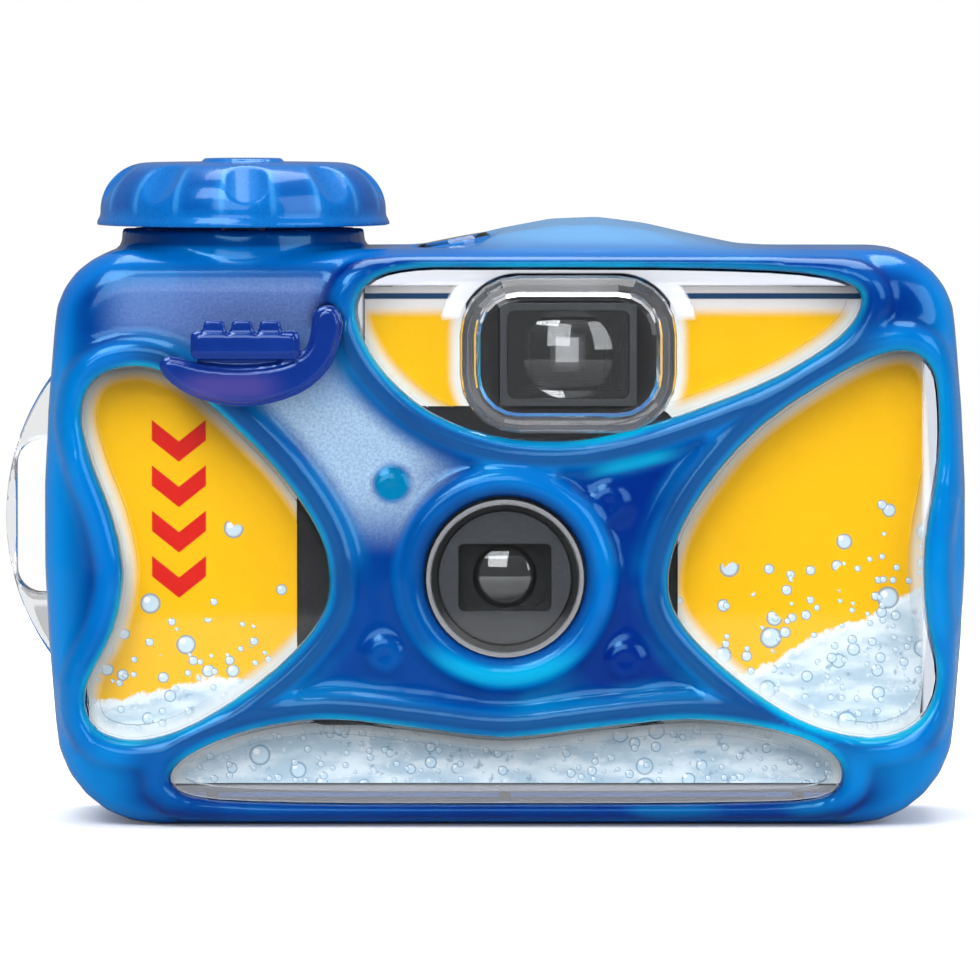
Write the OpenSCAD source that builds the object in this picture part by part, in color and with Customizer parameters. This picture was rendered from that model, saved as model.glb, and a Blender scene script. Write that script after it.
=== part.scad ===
// Waterproof single-use film camera: a film camera sealed in a clear housing,
// held in a blue shockproof frame with a winding knob and a shutter lever.
// Millimetres. X runs along the body, the front looks along -Y, Z is up.

/* [Film camera] */
// Width of the film camera inside
cam_w = 112; // [110:0.5:116]
// Depth of the film camera inside
cam_d = 28; // [28:0.1:30]
// Wall of the film camera's covers
cover_wall = 1.2; // [1:0.1:1.3]
// Rounding of the film camera's front and rear edges
cover_round = 2.5; // [2.2:0.1:3]

/* [Clear housing] */
// Wall of the clear housing
housing_wall = 1.6; // [1.4:0.1:2]
// Room between film camera and housing, front and rear
depth_room = 0.8; // [0.6:0.1:1]
// Room between film camera and housing at each side
side_room = 3.3; // [3:0.1:5]
// Room under the film camera
floor_room = 1.3; // [1.2:0.1:2]
// Room above the film camera
head_room = 0.8; // [0.6:0.1:2]
// Thickness of the gasket between the two housing halves
gasket_t = 0.6; // [0.4:0.1:1]

/* [Blue frame] */
// Wall of the blue frame
frame_wall = 1.8; // [1.5:0.1:2.2]
// Gap between frame and housing
frame_gap = 0.3; // [0.2:0.05:0.4]
// Rounding of the frame's front and rear edges
edge_r = 5.5; // [5:0.1:6]
// Radius of the two bottom corners
foot_corner_r = 14; // [12:0.1:15]
// Radius of the two top corners
top_corner_r = 10.5; // [10.3:0.1:12]
// How far each side swells outwards
side_swell = 1.5; // [0.5:0.1:2]
// Height of the finder hump above the shoulders
hump_h = 4.2; // [3:0.1:5]
// Height of the raised rim round each window
rim_h = 1.9; // [1.2:0.1:2]
// Width of the raised rim round each window
rim_w = 4.2; // [3:0.1:5]
// Radius of the four small weld studs round the lens
stud_r = 2.7; // [2:0.1:3]

/* [Lens] */
// Height of the lens axis above the base
lens_z = 34.2; // [33.5:0.1:34.8]
// Outer radius of the clear lens port
port_r = 10.7; // [10.3:0.1:11.2]
// Wall of the lens port
port_wall = 1.4; // [1.2:0.1:1.6]
// How far the lens port stands out of the housing
port_h = 5.2; // [4.6:0.1:5.6]
// Radius of the taking lens
lens_r = 5; // [4.8:0.1:5.2]

/* [Finder] */
// Distance of the finder axis from the lens axis, along the body
finder_x = 8.6; // [8:0.1:9.2]
// Width of the finder's black tunnel
finder_w = 18.6; // [17:0.1:20]
// Height of the finder's black tunnel
finder_h = 14; // [13:0.1:14.5]
// Width of the clear finder bezel
bezel_w = 29.5; // [28:0.1:31]
// Height of the clear finder bezel
bezel_h = 21.4; // [20:0.1:21.8]
// How far the bezel stands out of its window
bezel_out = 3.4; // [2.5:0.1:4]

/* [Winding knob] */
// Distance of the knob axis from the lens axis, along the body
knob_x = -36.1; // [-36.6:0.1:-35.6]
// Radius of the knob
knob_r = 20.2; // [19.5:0.1:20.5]
// Height of the knob
knob_h = 9.2; // [8.5:0.1:10]
// Number of finger scallops round the knob
scallops = 9; // [7:1:11]
// Radius of the neck under the knob
neck_r = 16.7; // [16:0.1:17]
// Height of the neck above the shoulder
neck_h = 2.6; // [2.2:0.1:3.5]
// Radius of the knob's shaft
shaft_r = 3; // [2.6:0.1:3.2]

/* [Shutter lever] */
// Place of the lever's pivot along the body
pivot_x = -24.1; // [-24.4:0.1:-23.8]
// Thickness of the lever
lever_t = 2.6; // [2:0.1:3]
// Radius of the lever's shaft
lever_shaft_r = 1.2; // [1:0.05:1.3]

/* [Strap loop] */
// Free width of the strap slot
strap_gap = 4.6; // [4.4:0.1:6]
// Thickness of the loop at its middle
strap_bar = 1.5; // [1.2:0.1:2]
// Depth of the loop, front to back
strap_d = 3.6; // [3:0.1:4]

/* [Film] */
// Width of the film
film_w = 35; // [35:0.1:35]
// Radius of the film cassette
cassette_r = 12.5; // [12.3:0.05:12.5]
// Radius of the film roll on the supply spool
roll_r = 8.75; // [8:0.05:9]

/* [Hidden] */
$fn = 64;
eps = 0.01;

// Clearances shared by all fits
run_fit = 0.05;
slip = 0.3;

// Depths, front to rear
cam_y = cam_d / 2;
housing_in_y = cam_y + depth_room;
housing_y = housing_in_y + housing_wall;
frame_in_y = housing_y + frame_gap;
frame_y = frame_in_y + frame_wall;
frame_split = 4;
housing_split = 9;
rim_y = frame_y + rim_h;
panel_y = frame_y + 0.4;
port_y = housing_y + port_h;
bezel_y = panel_y + bezel_out;

// Heights
cam_z0 = frame_wall + frame_gap + housing_wall + floor_room;
cassette_h = film_w + 8.8;
cassette_z = lens_z - cassette_h / 2;
deck_z = cassette_z + cassette_h + 1.5;
finder_z = deck_z + finder_h / 2;
cam_z1 = deck_z + finder_h + 2.7;
body_h = cam_z1 + head_room + housing_wall + frame_gap + frame_wall;
housing_inset = frame_wall + frame_gap;
cavity_inset = housing_inset + housing_wall;
side_x = cam_w / 2 + side_room + cavity_inset - side_swell;
neck_z = body_h + neck_h;

// Finder hump along the top
hump_x = 11;
hump_half = 27;
hump_depth = 14;

// Inside the film camera
cover_in_y = cam_y - cover_wall;
cover_split = -3;
cam_x = cam_w / 2;
cover_in_x = cam_x - cover_wall;
chassis_front = -9.6;
chassis_back = 9.2;
film_y = 9.5;
gate_w = 36;
gate_h = 24;
film_t = 0.16;
supply_x = 37;
supply_y = film_y - roll_r - 0.15;
chamber_r = cassette_r + slip;
wheel_z = deck_z + 2.4;
wheel_h = 3.4;
guide_z = wheel_z + wheel_h + 2.8;
button_top = guide_z + 3.8;
pivot_z = button_top - 0.7;
counter_z = deck_z + 8.4;
wheel_r = cover_in_y - 0.4;
sprocket_x = -15.5;
sprocket_r = 5.95;
sprocket_y = film_y - sprocket_r - 0.2;
sprocket_z = lens_z + film_w / 2 - 3.4;
counter_x = -11.5;
counter_y = -5.5;
counter_r = 7;

// Colours
blue = [0.02, 0.3, 0.85];
deep_blue = [0.03, 0.2, 0.7];
clear = [0.85, 0.93, 0.97];
black = [0.07, 0.07, 0.08];
yellow = [1, 0.78, 0.05];

// Points along an arc, both ends included
function arc(c, r, a0, a1, n) =
    [for (i = [0:n]) let (a = a0 + (a1 - a0) * i / n) [c[0] + r * cos(a), c[1] + r * sin(a)]];

// Height of the finder hump at a place along the body
function hump_at(x) =
    let (t = (x - hump_x) / hump_half) abs(t) < 1 ? pow(cos(90 * t), 2) : 0;

// Share of the hump left at a depth
function hump_share(y) = max(0, 1 - pow(y / hump_depth, 2));

// Half width of the body at a height, inset from the outside
function side_at(z, inset) =
    let (t = (z - foot_corner_r) / (body_h - top_corner_r - foot_corner_r))
    side_x - inset + side_swell * sin(180 * min(1, max(0, t)));

// Front outline of the body, inset from the outside, with the hump scaled by share
function body_outline(inset, share) =
    let (
        fx = side_x - foot_corner_r,
        tx = side_x - top_corner_r,
        tz = body_h - top_corner_r,
        steps = 5,
        rise = [for (i = [1:steps - 1]) foot_corner_r + (tz - foot_corner_r) * i / steps],
        across = [for (i = [1:15]) tx * (1 - i / 8)]
    )
    concat(
        arc([fx, foot_corner_r], foot_corner_r - inset, -90, 0, 6),
        [for (z = rise) [side_at(z, inset), z]],
        arc([tx, tz], top_corner_r - inset, 0, 90, 6),
        [for (x = across) [x, body_h - inset + hump_h * share * hump_at(x)]],
        arc([-tx, tz], top_corner_r - inset, 90, 180, 6),
        [for (i = [1:steps - 1]) let (z = rise[steps - 1 - i]) [-side_at(z, inset), z]],
        arc([-fx, foot_corner_r], foot_corner_r - inset, 180, 270, 6)
    );

// Rounded rectangle from x0,z0 to x1,z1, inset from its edges
function rounded_outline(x0, z0, x1, z1, r, inset) = concat(
    arc([x1 - r, z0 + r], r - inset, -90, 0, 5),
    arc([x1 - r, z1 - r], r - inset, 0, 90, 5),
    arc([x0 + r, z1 - r], r - inset, 90, 180, 5),
    arc([x0 + r, z0 + r], r - inset, 180, 270, 5)
);

// Smooth closed curve through a few points, with k points to each stretch
function smooth_loop(p, k) = [
    for (i = [0:len(p) - 1]) for (j = [0:k - 1])
        let (
            n = len(p), t = j / k,
            a = p[(i + n - 1) % n], b = p[i], c = p[(i + 1) % n], d = p[(i + 2) % n]
        )
        0.5 * (2 * b + (c - a) * t + (2 * a - 5 * b + 4 * c - d) * t * t
            + (3 * b - a - 3 * c + d) * t * t * t)
];

// Unit normal that points out of a loop that runs anticlockwise
function loop_normal(p, i) =
    let (n = len(p), d = p[(i + 1) % n] - p[(i + n - 1) % n], l = norm(d)) [d[1] / l, -d[0] / l];

// Loop moved outwards by a distance
function grown(p, distance) = [for (i = [0:len(p) - 1]) p[i] + distance * loop_normal(p, i)];

// Closed solid lofted through rings of equal length, the first ring at the low end
module loft(rings) {
    n = len(rings[0]);
    m = len(rings);
    polyhedron(
        points = [for (r = rings) each r],
        faces = concat(
            [[for (i = [n - 1:-1:0]) i]],
            [for (k = [0:m - 2]) for (i = [0:n - 1]) let (a = k * n, b = a + n, j = (i + 1) % n)
                [a + i, b + j, b + i]],
            [for (k = [0:m - 2]) for (i = [0:n - 1]) let (a = k * n, b = a + n, j = (i + 1) % n)
                [a + i, a + j, b + j]],
            [[for (i = [0:n - 1]) (m - 1) * n + i]]
        )
    );
}

// Puts a flat loop at a depth
function at_depth(p, y) = [for (q = p) [q[0], y, q[1]]];

// Half of the body's cushion form, from a depth to its rounded face
module body_half(from_y, face_y, inset, round_r, steps) {
    way = face_y > from_y ? 1 : -1;
    start = face_y - way * round_r;
    rings = concat(
        [for (y = concat([from_y], way < 0 ? [0, -7] : from_y < 6 ? [8] : []))
            at_depth(body_outline(inset, hump_share(y)), y)],
        [for (i = [0:steps]) let (a = 90 * i / steps)
            at_depth(
                body_outline(inset + round_r * (1 - cos(a)), hump_share(start) * pow(cos(a), 2)),
                start + way * round_r * sin(a)
            )]
    );
    loft(way < 0 ? [for (i = [len(rings) - 1:-1:0]) rings[i]] : rings);
}

// Half of a rounded box between two depths, with its face rounded
module cover_half(from_y, face_y, inset, round_r, steps) {
    way = face_y > from_y ? 1 : -1;
    start = face_y - way * round_r;
    rings = concat(
        [at_depth(rounded_outline(-cam_x, cam_z0, cam_x, cam_z1, 6, inset), from_y)],
        [for (i = [0:steps]) let (a = 90 * i / steps)
            at_depth(
                rounded_outline(-cam_x, cam_z0, cam_x, cam_z1, 6, inset + round_r * (1 - cos(a))),
                start + way * round_r * sin(a)
            )]
    );
    loft(way < 0 ? [for (i = [len(rings) - 1:-1:0]) rings[i]] : rings);
}

// Extrudes a front-view shape between two depths
module along_y(y0, y1) {
    translate([0, y1, 0]) rotate([90, 0, 0]) linear_extrude(y1 - y0) children();
}

// Round bar along Y
module bar_y(x, z, r, y0, y1) {
    translate([x, y1, z]) rotate([90, 0, 0]) cylinder(r = r, h = y1 - y0);
}

// Round bar along Z
module bar_z(x, y, r, z0, z1) {
    translate([x, y, z0]) cylinder(r = r, h = z1 - z0);
}

// Box from one corner to the other
module box(a, b) {
    translate(a) cube(b - a);
}

// Rounded rectangle as a flat shape, centred
module soft_rect(w, h, r) {
    square([w - 2 * r, h], center = true);
    square([w, h - 2 * r], center = true);
    for (x = [-1, 1], z = [-1, 1]) translate([x * (w / 2 - r), z * (h / 2 - r)]) circle(r);
}

// Ring of a given section radius round the Z axis
module ring_z(r, section) {
    rotate_extrude() translate([r, 0]) circle(section);
}

// Outlines of the four front windows and the two rear ones, each through a few points
finder_window = [
    [48.4, 71.4], [47, 74], [40, 75.6], [26, 76.2], [12.5, 76.3], [-3, 76.3], [-12, 76.2],
    [-17.6, 74.9], [-20.2, 71.6], [-19.4, 67], [-16.1, 61.8], [-10.2, 56.8], [-2, 53.6],
    [7.5, 52.7], [16.5, 54.1], [27, 57.5], [37.5, 61.9], [45.4, 67]
];
left_window = [
    [-24, 34.5], [-25.6, 40.6], [-31, 48.6], [-38.6, 56.2], [-44.6, 61.2], [-50.4, 62.9],
    [-55.6, 61.2], [-57.6, 56.6], [-56.2, 50], [-53.4, 42.6], [-51.9, 34.6], [-53.4, 26.6],
    [-57.1, 19], [-55.8, 13.6], [-49.8, 12], [-41.6, 14.6], [-31, 22], [-25, 29]
];
right_window = [
    [58.9, 50], [58.8, 59.5], [57.4, 63.4], [53.6, 65], [46.3, 62.3], [35, 54.8], [27, 45.8],
    [22.9, 37.4], [22.9, 30], [29, 22.6], [39.6, 15], [49.5, 12.3], [56.2, 14.4], [58.9, 20.4],
    [57.3, 29], [57, 38.5]
];
foot_window = [
    [45.9, 7], [44.3, 10.4], [37.2, 13.3], [25.4, 14.7], [12, 13.5], [0, 12.2], [-12, 13.5],
    [-24, 14.7], [-33.6, 13.5], [-41.5, 10.8], [-45.6, 7.2], [-42.6, 4.1], [-28, 3.2], [0, 3.1],
    [28, 3.2], [42.8, 3.9]
];
rear_view = [
    [47, 31], [44.5, 43.5], [34, 49.5], [17, 51.5], [0, 52], [-17, 51.5], [-34, 49.5],
    [-44.5, 43.5], [-47, 31], [-44.5, 18.5], [-34, 12.5], [-17, 10.5], [0, 10], [17, 10.5],
    [34, 12.5], [44.5, 18.5]
];
function fitted(p) = [for (q = p) [q[0] * side_x / 61.5, q[1] * body_h / 78.8]];
front_windows = [for (w = [finder_window, left_window, right_window, foot_window]) fitted(w)];
rear_window = fitted(rear_view);

// Flat shape of a window, inset from its edge
module window_shape(points, inset) {
    offset(delta = -inset) polygon(smooth_loop(points, 3));
}

// How far a place on the front lies inside the body's outline
function edge_gap(x, z) =
    let (
        low = z < foot_corner_r,
        high = z > body_h - top_corner_r,
        r = low ? foot_corner_r : top_corner_r,
        cx = side_x - r,
        cz = low ? r : body_h - r,
        straight = min(side_at(z, 0) - abs(x), z, body_h - z)
    )
    (low || high) && abs(x) > cx ? r - norm([abs(x) - cx, z - cz]) : straight;

// Depth of the body's rounded face at a place on the front
function surface_y(x, z) =
    let (d = edge_r - min(edge_r, max(0.2, edge_gap(x, z))))
    frame_y - edge_r + sqrt(edge_r * edge_r - d * d);

// Raised rim with a rounded section, swept round a window on the rounded face
module window_rim(points, way) {
    p = smooth_loop(points, 3);
    n = len(p);
    m = 7;
    rings = [for (i = [0:n - 1])
        let (
            out = loop_normal(p, i),
            wide = min(rim_w, edge_gap(p[i][0], p[i][1]) - 0.4),
            high = min(rim_h, 0.7 * wide)
        )
        [for (k = [0:m - 1])
            let (
                a = min(45 * k, 180),
                s = k == 5 ? wide : k == 6 ? 0 : wide * (1 - cos(a)) / 2,
                h = k > 4 ? -0.8 : high * sin(a),
                x = p[i][0] + out[0] * s,
                z = p[i][1] + out[1] * s
            )
            [x, way * (surface_y(x, z) + h), z]]];
    polyhedron(
        points = [for (r = rings) each r],
        faces = [for (i = [0:n - 1]) for (k = [0:m - 1]) for (half = [0, 1])
            let (
                a = i * m + k, b = i * m + (k + 1) % m,
                c = ((i + 1) % n) * m + (k + 1) % m, d = ((i + 1) % n) * m + k,
                f = half == 0 ? [a, b, c] : [a, c, d]
            )
            way < 0 ? [f[2], f[1], f[0]] : f]
    );
}

// Tube of a given radius along a coil that climbs along Z
module coil_z(r, wire, z0, z1, turns) {
    per_turn = 10;
    sides = 6;
    n = turns * per_turn;
    rings = [for (i = [0:n]) let (a = 360 * i / per_turn, z = z0 + (z1 - z0) * i / n)
        [for (k = [0:sides - 1]) let (b = 360 * k / sides)
            [(r + wire * cos(b)) * cos(a), (r + wire * cos(b)) * sin(a), z + wire * sin(b)]]];
    loft(rings);
}

// Front half of the blue frame: a rounded shell with four rimmed windows, the lens ring,
// four weld studs, half of the knob's neck, and openings for counter and lever
module front_frame() {
    color(blue) difference() {
        union() {
            body_half(frame_split, -frame_y, 0, edge_r, 4);
            for (w = front_windows) window_rim(w, -1);
            lens_ring();
            for (s = stud_places) translate([s[0], -frame_y, s[1]]) rotate([90, 0, 0]) weld_stud();
            neck(-neck_r - 1, frame_split);
        }
        body_half(frame_split + 1, -frame_in_y, frame_wall, edge_r - frame_wall, 4);
        for (w = front_windows)
            along_y(-rim_y - 5, -frame_in_y + 2.5) window_shape(w, 0);
        bar_y(0, lens_z, port_r + frame_gap, -port_y - 5, -frame_in_y + 1);
        bar_y(pivot_x, pivot_z, lever_shaft_r + 0.8, -rim_y - 1, -frame_in_y + 1);
        neck_bore();
        bar_z(counter_spot[0], counter_spot[1], counter_spot[2], body_h - 4, body_h + 9);
        strap_slot();
    }
}

// Places of the weld studs, as far from the lens axis as they are from each other
stud_places = [
    [-15.5, lens_z + 12], [14.2, lens_z + 10], [-16.4, lens_z - 10.6], [16.4, lens_z - 11.4]
];

// Low round stud with a dished top
module weld_stud() {
    difference() {
        cylinder(r1 = stud_r, r2 = stud_r * 0.8, h = 0.9);
        translate([0, 0, 0.45]) cylinder(r1 = stud_r * 0.35, r2 = stud_r * 0.65, h = 0.6);
    }
}

// Rounded ring of the frame round the lens port
module lens_ring() {
    inner = port_r + frame_gap;
    width = 4.3;
    crest = port_h - 2.6;
    translate([0, -frame_y, lens_z]) rotate([90, 0, 0]) rotate_extrude()
        intersection() {
            translate([inner, -0.6]) square([width + 3, crest + 3]);
            union() {
                translate([inner + width / 2, crest - width / 2]) circle(width / 2);
                translate([inner, -0.6]) square([width, crest - width / 2 + 0.6]);
            }
        }
}

// Part of the knob's neck between two depths
module neck(y0, y1) {
    foot_z = body_h - frame_wall;
    intersection() {
        difference() {
            bar_z(knob_x, 0, neck_r, foot_z - 3, neck_z);
            bar_z(knob_x, 0, neck_r - frame_wall, foot_z - 4, neck_z + 1);
        }
        box([knob_x - neck_r - 2, y0, foot_z - 4], [knob_x + neck_r + 2, y1, neck_z + 1]);
    }
}

// Room inside the neck, down through the shoulder
module neck_bore() {
    bar_z(knob_x, 0, neck_r - frame_wall, body_h - frame_wall - 6, neck_z + 1);
}

// Place and radius of the counter window
counter_spot = [-7.2, -4, 5.6];

// Slot in the frame's side that the strap loop comes through
module strap_slot() {
    box([-side_x - side_swell - 2, strap_y0 - 0.2, strap_z0 - 0.3],
        [-side_x + frame_wall + 1.2, strap_y0 + strap_d + 0.2, strap_z1 + 0.3]);
}

// Rear half of the blue frame: a rounded shell with a view of the back and the eyepiece opening
module rear_frame() {
    color(blue) difference() {
        union() {
            body_half(frame_split, frame_y, 0, edge_r, 4);
            window_rim(rear_window, 1);
            neck(frame_split, neck_r + 1);
        }
        body_half(frame_split - 1, frame_in_y, frame_wall, edge_r - frame_wall, 4);
        along_y(frame_in_y - 2.5, rim_y + 5) window_shape(rear_window, 0);
        translate([finder_x, 0, finder_z]) along_y(frame_in_y - 1, frame_y + 5)
            soft_rect(eye_w + 2 * frame_gap, eye_h + 2 * frame_gap, eye_corner);
        neck_bore();
        strap_slot();
    }
}

// Eyepiece bulge of the rear housing
eye_w = 18;
eye_h = 14;
eye_corner = 5;
eye_y = frame_y + 1.2;

// Clear front half of the housing: the deep half, with window panels, finder bezel and lens port
module front_housing() {
    seat_y = port_y - window_t - slip;
    color(clear) difference() {
        union() {
            body_half(housing_split, -housing_y, housing_inset, edge_r - housing_inset, 3);
            for (w = front_windows)
                along_y(-panel_y, -housing_in_y) window_shape(w, frame_gap);
            bezel_solid(0, bezel_y, 2.4);
            bar_y(0, lens_z, port_r, -port_y, -housing_in_y);
            bar_z(knob_x, 0, shaft_r + 4, body_h - housing_inset - 3, body_h + 0.6);
            bar_y(pivot_x, pivot_z, lever_shaft_r + 1.6, -housing_y - 0.1, -housing_in_y - eps);
        }
        difference() {
            body_half(housing_split + 1, -housing_in_y, cavity_inset, edge_r - cavity_inset, 3);
            floor_ribs(-housing_in_y - 1, housing_split + 2);
            bar_z(knob_x, 0, shaft_r + 4, body_h - cavity_inset - head_room + slip, body_h);
        }
        for (w = front_windows)
            along_y(-panel_y + housing_wall, -housing_in_y + 0.5)
                window_shape(w, frame_gap + housing_wall);
        bezel_solid(2.2, bezel_y - housing_wall, 1.2);
        bar_y(0, lens_z, port_r - port_wall, -port_y - 1, -housing_in_y + 0.5);
        bar_y(0, lens_z, window_r + run_fit, -port_y - 1, -seat_y);
        bar_z(knob_x, 0, shaft_r + run_fit, body_h - 9, body_h + 2);
        translate([knob_x, 0, body_h + 0.6 - seal_h])
            cylinder(r = shaft_r + seal_section * 2 - 0.25, h = seal_h + 1);
        bar_y(pivot_x, pivot_z, lever_shaft_r + run_fit, -housing_y - 1, -housing_in_y + 1);
    }
}

// Finder bezel as a block with a rounded front edge, inset from its outside
module bezel_solid(inset, face_y, round_r) {
    w = bezel_w / 2;
    h = bezel_h / 2;
    loft([
        for (i = [3:-1:0]) let (a = 30 * i)
            at_depth(
                rounded_outline(finder_x - w, finder_z - h, finder_x + w, finder_z + h, 8,
                    inset + round_r * (1 - cos(a))),
                -face_y + round_r * (1 - sin(a))
            ),
        at_depth(
            rounded_outline(finder_x - w, finder_z - h, finder_x + w, finder_z + h, 8, inset),
            -housing_in_y + (inset > 0 ? 0.5 : 0)
        )
    ]);
}

// Ribs that the film camera stands on
module floor_ribs(y0, y1) {
    for (x = [-40, 0, 40])
        box([x - 0.8, y0, cam_z0 - floor_room - 1], [x + 0.8, y1, cam_z0 - slip]);
}

window_r = port_r - 0.6;
window_t = 1.5;
seal_section = 0.8;
seal_h = 2;

// Clear rear half of the housing: a lid with the eyepiece and a panel behind the rear window
module rear_housing() {
    color(clear) difference() {
        union() {
            body_half(housing_split + gasket_t, housing_y, housing_inset, edge_r - housing_inset, 3);
            translate([finder_x, 0, finder_z]) along_y(housing_in_y, eye_y)
                soft_rect(eye_w, eye_h, eye_corner);
            along_y(housing_in_y, panel_y) window_shape(rear_window, frame_gap);
        }
        difference() {
            body_half(housing_split - 1, housing_in_y, cavity_inset, edge_r - cavity_inset, 3);
            floor_ribs(housing_split - 2, housing_in_y + 1);
        }
        translate([finder_x, 0, finder_z]) along_y(housing_in_y - 0.5, eye_y - housing_wall)
            soft_rect(eye_w - 2 * housing_wall, eye_h - 2 * housing_wall, eye_corner - housing_wall);
        along_y(housing_in_y - 0.5, panel_y - housing_wall)
            window_shape(rear_window, frame_gap + housing_wall);
    }
}

// Flat gasket between the housing halves
module housing_gasket() {
    color([0.8, 0.82, 0.85]) along_y(housing_split, housing_split + gasket_t) difference() {
        polygon(body_outline(housing_inset + 0.1, hump_share(housing_split + gasket_t)));
        polygon(body_outline(cavity_inset - 0.1, hump_share(housing_split)));
    }
}

// Flat clear disc welded into the lens port
module lens_window() {
    color(clear) bar_y(0, lens_z, window_r, -port_y + slip, -port_y + slip + window_t - eps);
}

// Clear disc over the frame counter, leaning with the hump
module counter_window() {
    r = counter_spot[2] - 0.3;
    x = counter_spot[0];
    crest = hump_h * hump_share(counter_spot[1]);
    lean = atan(crest * (hump_at(x + 1) - hump_at(x - 1)) / 2);
    color(clear) translate([x, counter_spot[1], body_h + crest * hump_at(x)]) rotate([0, -lean, 0])
        union() {
            translate([0, 0, -1.2]) cylinder(r = r, h = 1);
            translate([0, 0, -0.2]) cylinder(r1 = r, r2 = r - 0.6, h = 0.5);
        }
}

// Clear crescent on the left side that a wrist strap is tied to
strap_y0 = frame_split - strap_d / 2;
strap_z0 = 19.4;
strap_z1 = 63.4;
module strap_loop() {
    middle_z = (strap_z0 + strap_z1) / 2;
    half = (strap_z1 - strap_z0) / 2;
    out = side_x + side_swell + strap_gap + strap_bar;
    slot_half = 10.6;
    root = side_at(middle_z - slot_half, housing_inset) + 0.15;
    sag = out - root;
    bow_r = (half * half + sag * sag) / (2 * sag);
    slot_out = out - strap_bar;
    color(clear) translate([0, strap_y0, 0]) along_y(0, strap_d) difference() {
        intersection() {
            translate([-out + bow_r, middle_z]) circle(bow_r, $fn = 128);
            translate([-out - 1, strap_z0]) square([out + 1 - root, 2 * half]);
        }
        translate([-slot_out, middle_z - slot_half]) slot_shape(slot_out - root + 9, slot_half * 2);
    }
}

// Slot with two rounded corners on its left side
module slot_shape(w, h) {
    r = 3.4;
    translate([r, 0]) square([w - r, h]);
    translate([0, r]) square([w, h - 2 * r]);
    for (z = [r, h - r]) translate([r, z]) circle(r);
}

// Winding knob: a scalloped dome on a thin flared skirt, with a raised centre, hollow below
module advance_knob() {
    z0 = neck_z + 0.4;
    lip = 0.5;
    crown = 6.6;
    dome_r = knob_r - lip;
    top_r = dome_r - crown;
    scoop_r = 6.4;
    color(blue) translate([knob_x, 0, z0]) difference() {
        union() {
            rotate_extrude() intersection() {
                square([knob_r, knob_h]);
                union() {
                    translate([top_r, knob_h - crown - 0.6]) circle(crown);
                    square([top_r, knob_h - 0.6]);
                    square([dome_r, knob_h - crown - 0.6]);
                }
            }
            cylinder(r = knob_r, h = 0.5);
            translate([0, 0, 0.5]) cylinder(r1 = knob_r, r2 = dome_r - 0.1, h = 1);
            cylinder(r = 5.4, h = knob_h);
        }
        for (i = [0:scallops - 1]) rotate([0, 0, 360 * i / scallops + 73.3])
            translate([dome_r + 5.2, 0, 6.8]) rotate([0, -42, 0]) {
                sphere(scoop_r);
                cylinder(r = scoop_r, h = knob_h * 2);
            }
        translate([0, 0, -1]) difference() {
            cylinder(r = dome_r - 1.6, h = 4.4);
            cylinder(r = shaft_r + 2.4, h = 5);
        }
        translate([0, 0, -1]) cylinder(r = shaft_r + 0.02, h = 5.5);
    }
}

// Shaft from the knob through the housing, with a key at its foot
module knob_shaft() {
    top = neck_z + 0.4 + 4.4;
    foot = wheel_z + wheel_h + 0.3;
    color([0.75, 0.78, 0.8]) union() {
        bar_z(knob_x, 0, shaft_r, foot + 3, top);
        bar_z(knob_x, 0, shaft_r - 0.6, foot, foot + 3.2);
        box([knob_x - 0.9, -1.6, foot - 2.4], [knob_x + 0.9, 1.6, foot + 0.2]);
    }
}

// Rubber ring that seals the knob's shaft
module knob_seal() {
    color(black) translate([knob_x, 0, body_h + 0.6 - seal_h + seal_section + 0.1])
        ring_z(shaft_r + seal_section - 0.15 + 0.04, seal_section - 0.17);
}

// Toothed wheel of the film camera that winds the cassette's spool
module thumbwheel() {
    teeth = 24;
    color(black) union() {
        difference() {
            bar_z(knob_x, 0, wheel_r, wheel_z, wheel_z + wheel_h);
            for (i = [0:teeth - 1]) rotate_about_knob(360 * i / teeth)
                bar_z(wheel_r + 0.35, 0, 0.9, wheel_z - 1, wheel_z + wheel_h + 1);
            box([knob_x - 1, -1.7, wheel_z + wheel_h - 2.4],
                [knob_x + 1, 1.7, wheel_z + wheel_h + 1]);
        }
        bar_z(knob_x, 0, spool_hub_r - 0.4, cassette_z + cassette_h - 4, wheel_z + 0.2);
    }
}

// Turns its children about the knob's axis
module rotate_about_knob(angle) {
    translate([knob_x, 0, 0]) rotate([0, 0, angle]) children();
}

spool_hub_r = 3;

// Spool inside the cassette, with a socket for the wheel's stem
module cassette_spool() {
    z0 = cassette_z + 1.2;
    z1 = cassette_z + cassette_h - 1.2;
    color([0.2, 0.2, 0.22]) difference() {
        union() {
            bar_z(knob_x, 0, 5.7, z0, z1);
            for (z = [z0, z1 - 1]) bar_z(knob_x, 0, cassette_r - 1.2, z, z + 1);
            bar_z(knob_x, 0, spool_hub_r + 0.6, z0 - 2, z1 + 1.8);
        }
        bar_z(knob_x, 0, spool_hub_r - 0.3, cassette_z + cassette_h - 4.3, z1 + 3);
    }
}

// Outline of the lever's curved arm
lever_arm = [for (q = [
    [1.9, -2.1], [2, 0.3], [1.1, 1.8], [-0.5, 2], [-1.9, 0.9], [-2.2, -1.3], [-3, -3.8],
    [-5.9, -5.6], [-11.3, -6.3], [-16.9, -5.9], [-21.3, -4.8], [-22.8, -6.2], [-20.9, -8.7],
    [-16.9, -10.8], [-10.7, -11.7], [-3.9, -10], [0.3, -6.5]
]) [pivot_x + q[0], pivot_z + q[1]]];
lever_back = rim_y + 0.5;
lever_front = lever_back + lever_t;

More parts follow.
